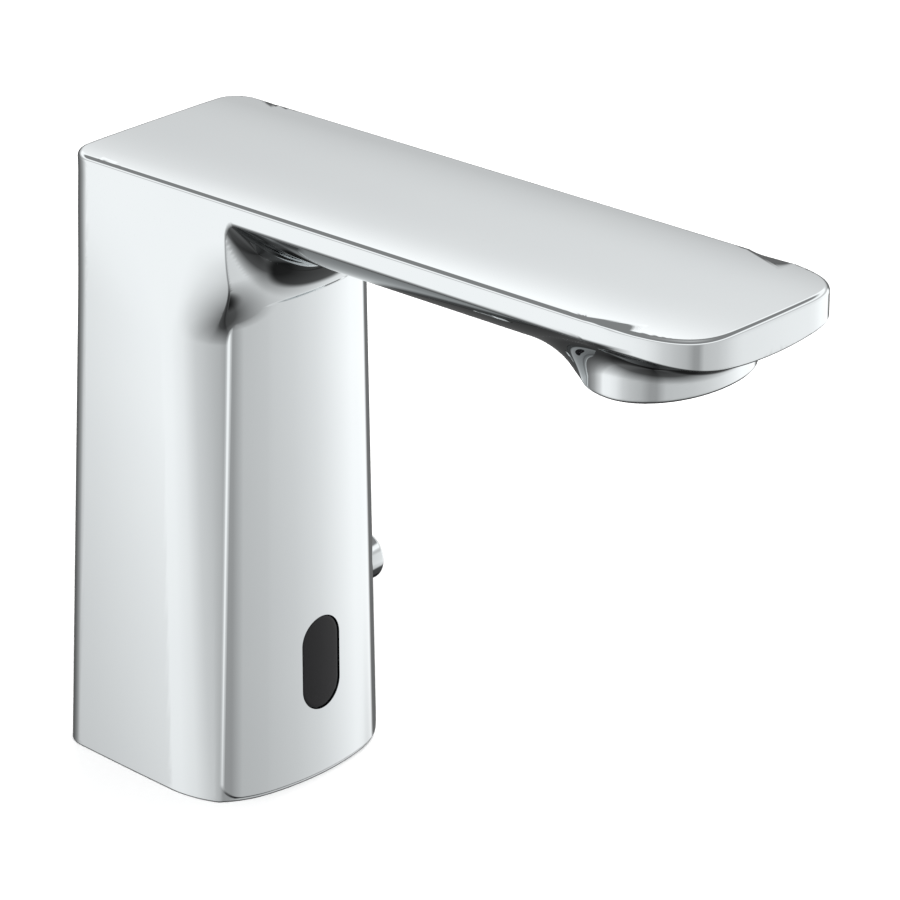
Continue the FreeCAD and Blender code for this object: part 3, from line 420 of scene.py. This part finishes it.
def stadiumOutline(halfWidth, halfHeight):
    # two half circles joined by straight sides, in x and z, centred on the window
    turns = np.linspace(-math.pi / 2, math.pi / 2, roundCount // 2)
    lift = halfHeight - halfWidth
    upper = np.stack([halfWidth * np.sin(turns), lift + halfWidth * np.cos(turns)], -1)
    flat = np.concatenate([upper, -upper])
    return np.stack([flat[:, 0], np.zeros(len(flat)), flat[:, 1] + lensShape["z"]], -1)


def cutBody(body):
    across, upward = circleWays(roundCount)
    level = np.zeros(roundCount)
    window = stadiumOutline(lensShape["halfWidth"], lensShape["halfHeight"])
    shaft = np.stack([level, knobShape["y"] + knobShape["hole"] * across,
                      knobShape["z"] + knobShape["hole"] * upward], -1)
    well = np.stack([outletShape["hole"] * across,
                     outletShape["y"] + outletShape["hole"] * upward, level], -1)
    cuts = (("cutWindow", window, (0, 1, 0), lensShape["cut"]),
            ("cutKnob", shaft, (1, 0, 0), knobShape["cut"]),
            ("cutWell", well, (0, 0, 1), outletShape["cut"]))
    for name, outline, axis, span in cuts:
        points = np.concatenate([outline + np.array(axis) * end for end in span])
        caps = [list(range(roundCount))[::-1], list(range(roundCount, 2 * roundCount))]
        cutter = meshObject(name, points, gridFaces(2, roundCount) + caps)
        change = body.modifiers.new(name, "BOOLEAN")
        change.operation = "DIFFERENCE"
        change.solver = "EXACT"
        change.object = cutter
        fresh = bpy.data.meshes.new_from_object(body.evaluated_get(bpy.context.evaluated_depsgraph_get()))
        body.modifiers.remove(change)
        old = body.data
        body.data = fresh
        bpy.data.meshes.remove(old)
        bpy.data.objects.remove(cutter)


def smoothed(made):
    mesh = made.data
    mesh.polygons.foreach_set("use_smooth", np.full(len(mesh.polygons), True))
    return mesh


def readAll(items, name, width=1, kind=float):
    values = np.zeros(len(items) * width, kind)
    items.foreach_get(name, values)
    return values.reshape(-1, width) if width > 1 else values


def exactNormals(made, field):
    # corners within 0.03 mm of the field's surface take its true direction, the rest their face's own
    close, sameWay = 0.03, 0.3
    mesh = smoothed(made)
    points = readAll(mesh.vertices, "co", 3) / mm
    true = normalsOf(field, points)
    onSkin = np.abs(field(*points.T)) < close
    corner = readAll(mesh.loops, "vertex_index", kind=int)
    sizes = readAll(mesh.polygons, "loop_total", kind=int)
    flat = np.repeat(readAll(mesh.polygons, "normal", 3), sizes, axis=0)
    faceOf = np.repeat(np.arange(len(sizes)), sizes)
    allSkin = np.ones(len(sizes), bool)
    np.logical_and.at(allSkin, faceOf, onSkin[corner])
    use = allSkin[faceOf] & (np.einsum("ij,ij->i", true[corner], flat) > sameWay)
    mesh.normals_split_custom_set(np.where(use[:, None], true[corner], flat).tolist())
    mesh.update()


body = buildBody()
cutBody(body)
exactNormals(body, bodyField)
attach(body, "tap")
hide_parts("body_shell")
print("body", len(body.data.polygons), "faces")

# aerator housing under the tip, in mm; its skin is cast from a source above the outlet, then closed by a well
# below and a lid inside the spout
housingShape = {"y": -124.0, "bottom": 126.0, "half": 20.9, "rear": 17.0, "front": 14.4, "power": 2.05,
                "edge": 0.8, "hollowFront": 4.0, "hollowRear": 14.0, "well": 12.25, "wellTop": 140.8,
                "wellStep": 132.0, "wellEdge": 0.35, "wellRim": 0.1, "lid": 142.6, "dive": 0.7,
                "source": 150.0, "columns": 180, "steps": 60, "dense": 400, "reach": 60}


def housingSide(x, y):
    # superellipse wall, longer at the rear
    s = housingShape
    along = y - s["y"]
    reach = np.where(along > 0, s["rear"], s["front"])
    return ovalField(np.abs(x) / s["half"], np.abs(along) / reach, s["half"], reach, s["power"])[0]


def hollowRadius(x, y):
    # the flare is wide behind the outlet and tight at its sides and front
    s = housingShape
    along = y - s["y"]
    rear = np.maximum(along / np.maximum(np.hypot(x, along), 1e-6), 0)
    return mixed(s["hollowFront"], s["hollowRear"], rear ** 2)


def underField(x, y, z):
    # belly of the spout with the housing growing out of it
    s = housingShape
    wall = roundMax(housingSide(x, y), s["bottom"] - z, s["edge"])
    return roundMin(bellyField(np.abs(x), y, z), wall, hollowRadius(x, y))


def buildHousing():
    s = housingShape
    count = s["columns"]
    outX, outY = circleWays(count)
    source = np.array([0.0, s["y"], s["source"]])

    def castDown(tilt):
        # rays from the source, tilted from straight down
        ways = np.stack([np.sin(tilt) * outX[:, None], np.sin(tilt) * outY[:, None], -np.cos(tilt)], -1)
        flat = ways.reshape(-1, 3)
        return castOut(underField, np.broadcast_to(source, flat.shape), flat, s["reach"]).reshape(ways.shape)

    def circle(radius, z):
        return np.stack([radius * outX, s["y"] + radius * outY, np.full(count, z)], -1)

    # the rim, where the flare just ends on the belly
    radius = np.full(count, s["half"])
    for _ in range(40):
        x, y = radius * outX, s["y"] + radius * outY
        radius = radius - (housingSide(x, y) - hollowRadius(x, y) - 0.05)
    x, y = radius * outX, s["y"] + radius * outY
    bowR, centreZ = bellyArc(y)
    rimZ = centreZ - np.sqrt(bowR ** 2 - x ** 2)
    low = math.atan2(s["well"] + s["wellEdge"], s["source"] - s["bottom"])
    high = np.arctan2(radius, s["source"] - rimZ)[:, None]
    dense = np.linspace(0, 1, s["dense"])
    points = castDown(mixed(low, high, dense[None]))
    normals = normalsOf(underField, points.reshape(-1, 3)).reshape(points.shape)
    picked = [evenSteps(line, normal, dense, s["steps"], 0.5) for line, normal in zip(points, normals)]
    skin = castDown(mixed(low, high, np.stack(picked))).transpose(1, 0, 2)
    well = [circle(s["well"] / 2, s["wellTop"]), circle(s["well"], s["wellTop"]),
            circle(s["well"], s["wellStep"]), circle(s["well"], s["bottom"] + s["wellEdge"]),
            circle(s["well"] + s["wellRim"], s["bottom"] + s["wellRim"])]
    dive = skin[-1] + np.array([0, 0, s["dive"]])
    lid = skin[-1].copy()
    lid[:, 2] = s["lid"]
    wellPole, lidPole = np.array([0.0, s["y"], s["wellTop"]]), np.array([0.0, s["y"], s["lid"]])
    rows = well + list(skin) + [dive, lid, mixed(lidPole, lid, 0.5)]
    return closedSkin("aerator_housing", rows, wellPole, lidPole)


housing = buildHousing()
exactNormals(housing, underField)
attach(housing, "tap")
print("housing", len(housing.data.polygons), "faces")


def arcProfile(centreAlong, centreRadius, radius, startTurn, endTurn, steps):
    turns = np.radians(np.linspace(startTurn, endTurn, steps))
    return [(centreAlong + radius * math.sin(t), centreRadius + radius * math.cos(t)) for t in turns]


def buildKnob():
    # profile of (distance along X, radius) carried round the knob's axis: neck, back edge, front edge, dome
    s = knobShape
    back = s["start"] - 0.3
    profile = ([(s["neckStart"], 0.2), (s["neckStart"], s["neck"] - 0.4), (s["neckStart"] + 0.3, s["neck"]),
                (back, s["neck"]), (back, s["neck"] + 0.4)]
               + arcProfile(s["start"] + s["backEdge"], s["radius"] - s["backEdge"], s["backEdge"], -90, 0, 6)
               + arcProfile(s["end"] - s["edge"] - s["dome"], s["radius"] - s["edge"], s["edge"], 0, 80, 12)
               + [(s["end"] - 0.08, 3.4), (s["end"], 1.6), (s["end"], 0.1)])
    across, upward = circleWays(roundCount)
    rings = [np.stack([np.full(roundCount, along), s["y"] - radius * across, s["z"] - radius * upward], -1)
             for along, radius in profile]
    poles = [np.array([along, s["y"], s["z"]]) for along in (s["neckStart"], s["end"])]
    return closedSkin("knob_chrome", rings, *poles)


def creased(made, degrees):
    # smooth, but with sharp edges where faces meet at more than that
    smoothed(made).set_sharp_from_angle(angle=math.radians(degrees))


knob = buildKnob()
creased(knob, 35)
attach(knob, "mixing_knob")
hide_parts("temperature_knob")

# rings of the lens: share of its size, and how far each is sunk below the recessed face in mm
lensRings = ((1.0, 0.35), (0.995, 0.2), (0.985, 0.1), (0.97, 0.04), (0.94, 0), (0.85, 0), (0.7, 0), (0.5, 0),
             (0.3, 0), (0.12, 0))


def buildLens():
    # rounded-end window: rings shrink from its edge to its middle, on the panel's curve set back a little
    s = lensShape
    inset = s["halfWidth"] - s["gap"]
    apex = bodyShape["apex"]
    rings = []
    for share, sink in lensRings:
        outline = stadiumOutline(inset * share, s["halfHeight"] - s["gap"] - inset * (1 - share))
        x, z = outline[:, 0], outline[:, 2]
        panelX, panelY, _, _ = panelEdge(z)
        y = np.full(len(x), apex)
        for _ in range(12):
            y = y + (bowField(np.abs(x), y, panelX, panelY, apex) + s["recess"] + sink)
        rings.append(np.stack([x, y, z], -1))
    backRing = rings[0].copy()
    backRing[:, 1] = s["back"]
    backPole = np.array([0, s["back"], s["z"]])
    rows = [mixed(backPole, backRing, 0.4), backRing] + rings
    return closedSkin("sensor_lens", rows, backPole, rings[-1].mean(0))


lens = buildLens()
creased(lens, 40)
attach(lens, "tap")
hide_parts("sensor_window")


def newTree(name):
    made = bpy.data.materials.new(name)
    made.use_nodes = True
    made.node_tree.nodes.clear()
    return made, made.node_tree, addNode(made.node_tree, "ShaderNodeTexCoord").outputs["Object"]


def finishTree(tree, pattern, colours, roughness, bump, uniform):
    # one pattern from 0 to 1 drives colour, roughness and relief; uniform goes on the shader itself
    colour = addNode(tree, "ShaderNodeMix", {0: pattern, 6: linear(colours[0]), 7: linear(colours[1])},
                     data_type="RGBA")
    gloss = addNode(tree, "ShaderNodeMapRange",
                    {"Value": pattern, "To Min": roughness[0], "To Max": roughness[1]})
    inputs = {"Base Color": colour.outputs[2], "Roughness": gloss.outputs["Result"], **uniform}
    if bump:
        relief = addNode(tree, "ShaderNodeBump", {"Height": pattern, "Distance": bump * mm, "Strength": 0.8})
        inputs["Normal"] = relief.outputs["Normal"]
    shader = addNode(tree, "ShaderNodeBsdfPrincipled", inputs)
    addNode(tree, "ShaderNodeOutputMaterial", {"Surface": shader.outputs["BSDF"]})


def grainFinish(name, colours, grain, roughness, bump=0.0, **uniform):
    # cloudy noise whose grain is given in mm: castings, mouldings and polished faces
    made, tree, place = newTree(name)
    noise = addNode(tree, "ShaderNodeTexNoise", {"Vector": place, "Scale": 1 / (grain * mm), "Detail": 3.0})
    finishTree(tree, noise.outputs["Fac"], colours, roughness, bump, uniform)
    return made


def turnedFinish(name, colours, feed, roughness, bump, **uniform):
    # lathe marks: rings one feed in mm apart along Z; the wave's period is 2 pi / (20 * scale)
    made, tree, place = newTree(name)
    wave = {"Vector": place, "Scale": math.pi / (10 * feed * mm), "Distortion": 0.6}
    rings = addNode(tree, "ShaderNodeTexWave", wave, bands_direction="Z")
    finishTree(tree, rings.outputs["Fac"], colours, roughness, bump, uniform)
    return made


def drawnFinish(name, colours, line, roughness, **uniform):
    # noise drawn out along Z into fine die lines, as on wire and rod
    made, tree, place = newTree(name)
    drawn = addNode(tree, "ShaderNodeMapping", {"Vector": place, "Scale": (1, 1, 0.06)}).outputs["Vector"]
    noise = addNode(tree, "ShaderNodeTexNoise", {"Vector": drawn, "Scale": 1 / (line * mm), "Detail": 2.0})
    finishTree(tree, noise.outputs["Fac"], colours, roughness, 0.004, uniform)
    return made


def piercedFinish(name, colours, pitch, roughness):
    # round holes on a square pitch in mm, their dark painted shade: dark inside 0.32 of the pitch from each
    # cell's middle
    made, tree, place = newTree(name)
    grid = {"Vector": place, "Scale": 1 / (pitch * mm), "Randomness": 0.0}
    cells = addNode(tree, "ShaderNodeTexVoronoi", grid, voronoi_dimensions="2D").outputs["Distance"]
    # mask of the holes, which carries the painted shade inside them
    shadedHoles = addNode(tree, "ShaderNodeMapRange", {"Value": cells, "From Min": 0.36, "From Max": 0.28})
    finishTree(tree, shadedHoles.outputs["Result"], colours, roughness, 0.1, {"Metallic": 1.0})
    return made


def boardFinish(name, colours, pitch, roughness):
    # copper tracks on a pitch in mm show as lighter, raised bands under the green mask
    made, tree, place = newTree(name)
    wave = {"Vector": place, "Scale": math.pi / (10 * pitch * mm), "Distortion": 3.0, "Detail": 1.0,
            "Detail Scale": 2.0}
    tracks = addNode(tree, "ShaderNodeTexWave", wave, bands_direction="X").outputs["Fac"]
    bands = addNode(tree, "ShaderNodeMapRange", {"Value": tracks, "From Min": 0.55, "From Max": 0.65})
    finishTree(tree, bands.outputs["Result"], colours, roughness, 0.035, {})
    return made


metal = {"Metallic": 1.0}
# chrome plate on polished brass: a cool mirror, very slightly cloudy from the buffing
chrome = grainFinish("polishedChromePlate", ("#D7DBDC", "#D4D8DA"), 25, (0.015, 0.035), **metal)
finishes = {
    "chrome_body": chrome,
    "chrome_knob": chrome,
    # nitrile seals, compression moulded: near black, soft sheen
    "black_rubber": grainFinish("mouldedNitrile", ("#1F1F20", "#161617"), 0.8, (0.50, 0.66), 0.012),
    # thin diaphragm rubber: a little greyer and drier
    "valve_rubber": grainFinish("mouldedDiaphragmRubber", ("#2E2E2F", "#242425"), 0.6, (0.58, 0.74), 0.01),
    # zinc die casting, unpainted: dull grey with soft cloudy flow marks
    "cast_zinc": grainFinish("dieCastZinc", ("#94999C", "#7D8285"), 1.8, (0.36, 0.58), 0.03, **metal),
    # stainless screws, cold headed and rolled: bright with fine rings
    "steel_screws": turnedFinish("rolledStainlessSteel", ("#B4B8BA", "#8F9396"), 0.35, (0.22, 0.36), 0.01,
                                 **metal),
    # etched stainless screen: 0.9 mm holes stand for finer ones, so that they show; the second colour is
    # painted shade in the holes
    "steel_mesh": piercedFinish("etchedStainlessScreen", ("#B6BABC", "#1B1C1D"), 0.9, (0.28, 0.6)),
    # spring wire, drawn: bright with die lines
    "spring_steel": drawnFinish("drawnSpringWire", ("#BEC2C4", "#9CA0A3"), 0.12, (0.18, 0.34), **metal),
    # magnetic stainless steel, turned: slightly darker, fine lathe rings
    "magnet_steel": turnedFinish("turnedMagneticSteel", ("#A4A8AA", "#8B8F92"), 0.18, (0.24, 0.40), 0.006,
                                 **metal),
    # free-cutting brass, turned and left bare: warm yellow with lathe rings
    "raw_brass": turnedFinish("turnedBrass", ("#C9A95F", "#B08D47"), 0.25, (0.24, 0.42), 0.01, **metal),
    # acetal, injection moulded: milky white, waxy
    "white_plastic": grainFinish("mouldedAcetal", ("#E8E8E2", "#DDDDD5"), 1.2, (0.34, 0.46), 0.008),
    # glass-filled nylon, moulded: dark with a dry speckle of fibre ends
    "black_plastic": grainFinish("mouldedGlassFilledNylon", ("#26272A", "#1B1C1F"), 0.4, (0.42, 0.62), 0.015),
    # cross-linked polyethylene hose: drawn, so faint lines run along it
    "tube_plastic": drawnFinish("drawnPolyethylene", ("#EDEDE6", "#E0E0D8"), 0.5, (0.30, 0.42)),
    # epoxy cast over the coil: dark blue-black, glossy with slow ripples
    "coil_resin": grainFinish("castEpoxyResin", ("#2D2F37", "#23252C"), 3.0, (0.10, 0.20), 0.02),
    # alumina discs, lapped flat: warm white, smooth
    "ceramic": grainFinish("lappedAlumina", ("#EEEAE1", "#E4DFD4"), 0.3, (0.12, 0.20), 0.002),
    # infrared-clear acrylic, polished: black with a weak reflection
    "dark_lens": grainFinish("smokedAcrylic", ("#0C0C0E", "#08080A"), 6.0, (0.05, 0.09),
                             **{"Specular IOR Level": 0.2}),
    # glass-epoxy board with green mask over its tracks
    "circuit_board": boardFinish("solderMaskedLaminate", ("#1C5038", "#2A6B4B"), 1.27, (0.24, 0.32)),
    # water-clear epoxy, moulded
    "clear_diode": grainFinish("clearDiodeEpoxy", ("#D6DCE2", "#C8CFD7"), 1.5, (0.05, 0.10),
                               **{"Transmission Weight": 0.5}),
    # dark dyed epoxy, moulded
    "dark_diode": grainFinish("dyedDiodeEpoxy", ("#1F1B24", "#17141B"), 1.5, (0.06, 0.12)),
}
for part in frame["record"]["subparts"]:
    for slot in nodes[part["node"]].material_slots:
        slot.material = finishes[part["material_slot"]]
for piece in (body, housing, knob):
    piece.data.materials.clear()
    piece.data.materials.append(chrome)
lens.data.materials.append(finishes["dark_lens"])
print("materials", len(finishes))

# white paper that the tap stands on, 12 m wide
floorHalf = 6000.0
floorCorners = floorHalf * np.array([[-1.0, -1.0, 0.0], [1.0, -1.0, 0.0], [1.0, 1.0, 0.0], [-1.0, 1.0, 0.0]])
floor = meshObject("floor", floorCorners, [[0, 1, 2, 3]])
floor.visible_glossy = False
floor.data.materials.append(grainFinish("whitePaper", ("#F7F7F7", "#F5F5F5"), 2.0, (0.85, 0.95)))

# studio: light boxes round the tap, brightest at its left flank and at the right of its front, with dark gaps
# behind it and at the front corner, and a dark counter low in front; stops are (degrees, brightness), turned
# from +X or lifted from level, and the seam is where the lower half passes into the upper one
studioShape = {
    "strength": 1.4,
    "around": [(-180, 0.62), (-165, 0.53), (-145, 0.45), (-130, 0.32), (-120, 0.32), (-107, 0.52),
               (-75, 0.57), (-58, 0.65), (-45, 0.75), (-35, 0.86), (-22, 1.0), (5, 1.0), (12, 0.15),
               (60, 0.08), (85, 0.12), (100, 0.22), (112, 0.35), (126, 0.66), (133, 0.92), (146, 0.91),
               (163, 0.82), (180, 0.62)],
    "below": [(-90, 0.05), (-62, 0.12), (-48, 0.42), (-38, 0.62), (-28, 0.84), (-25, 0.93), (-22, 1.0),
              (0, 1.0)],
    "above": [(0, 0.6), (12, 0.5), (17, 0.52), (19.5, 0.62), (21.5, 0.72), (25, 1.0), (33, 0.95), (38, 0.22),
              (60, 0.22), (90, 0.5)],
    "seam": (7, 15),
    "counterTurn": -5, "counterLift": -54, "counterInner": 20, "counterOuter": 30, "counterLight": 0.12,
}
# lamps that light the paper and the dull pieces: place in metres, size in metres, watts
lamps = {"keyLight": ((-0.9, -1.2, 1.5), 1.2, 40), "fillLight": ((1.4, 0.6, 1.4), 1.4, 30)}
lampTarget = (0, -0.05, 0.05)


def angleRamp(tree, angle, stops, low, high):
    # brightness from an angle in radians by stops in degrees between low and high
    span = {"Value": angle, "From Min": math.radians(low), "From Max": math.radians(high)}
    share = addNode(tree, "ShaderNodeMapRange", span)
    made = addNode(tree, "ShaderNodeValToRGB", {"Fac": share.outputs["Result"]})
    marks = made.color_ramp.elements
    while len(marks) < len(stops):
        marks.new(0.5)
    for mark, (degrees, level) in zip(marks, stops):
        mark.position = (degrees - low) / (high - low)
        mark.color = (level, level, level, 1)
    return made.outputs["Color"]


def product(tree, first, second):
    return addNode(tree, "ShaderNodeMix", {0: 1.0, 6: first, 7: second}, data_type="RGBA",
                   blend_type="MULTIPLY").outputs[2]


world = bpy.data.worlds.new("studio")
scene.world = world
world.use_nodes = True
sky = world.node_tree
sky.nodes.clear()
direction = addNode(sky, "ShaderNodeTexCoord").outputs["Generated"]
way = addNode(sky, "ShaderNodeSeparateXYZ", {"Vector": direction}).outputs
turn = addNode(sky, "ShaderNodeMath", {0: way["Y"], 1: way["X"]}, operation="ARCTAN2").outputs[0]
lift = addNode(sky, "ShaderNodeMath", {0: way["Z"]}, operation="ARCSINE").outputs[0]
lower = product(sky, angleRamp(sky, turn, studioShape["around"], -180, 180),
                angleRamp(sky, lift, studioShape["below"], -90, 0))
counterTurn, counterLift = math.radians(studioShape["counterTurn"]), math.radians(studioShape["counterLift"])
counterWay = (math.cos(counterLift) * math.cos(counterTurn), math.cos(counterLift) * math.sin(counterTurn),
              math.sin(counterLift))
nearness = addNode(sky, "ShaderNodeVectorMath", {0: direction, 1: counterWay}, operation="DOT_PRODUCT")
counterSpan = {"Value": nearness.outputs["Value"],
               "From Min": math.cos(math.radians(studioShape["counterOuter"])), "To Min": 1.0,
               "From Max": math.cos(math.radians(studioShape["counterInner"])),
               "To Max": studioShape["counterLight"]}
counter = addNode(sky, "ShaderNodeMapRange", counterSpan, interpolation_type="SMOOTHSTEP").outputs["Result"]
lower = product(sky, lower, counter)
upper = angleRamp(sky, lift, studioShape["above"], 0, 90)
seamLow, seamHigh = studioShape["seam"]
seam = addNode(sky, "ShaderNodeMapRange",
               {"Value": lift, "From Min": math.radians(seamLow), "From Max": math.radians(seamHigh)})
glow = addNode(sky, "ShaderNodeMix", {0: seam.outputs["Result"], 6: lower, 7: upper}, data_type="RGBA")
back = addNode(sky, "ShaderNodeBackground", {"Color": glow.outputs[2], "Strength": studioShape["strength"]})
addNode(sky, "ShaderNodeOutputWorld", {"Surface": back.outputs["Background"]})

for name, (place, size, power) in lamps.items():
    lampData = bpy.data.lights.new(name, "AREA")
    lampData.size = size
    lampData.energy = power
    lamp = bpy.data.objects.new(name, lampData)
    scene.collection.objects.link(lamp)
    aim(lamp, place, lampTarget)
    lamp.visible_glossy = False
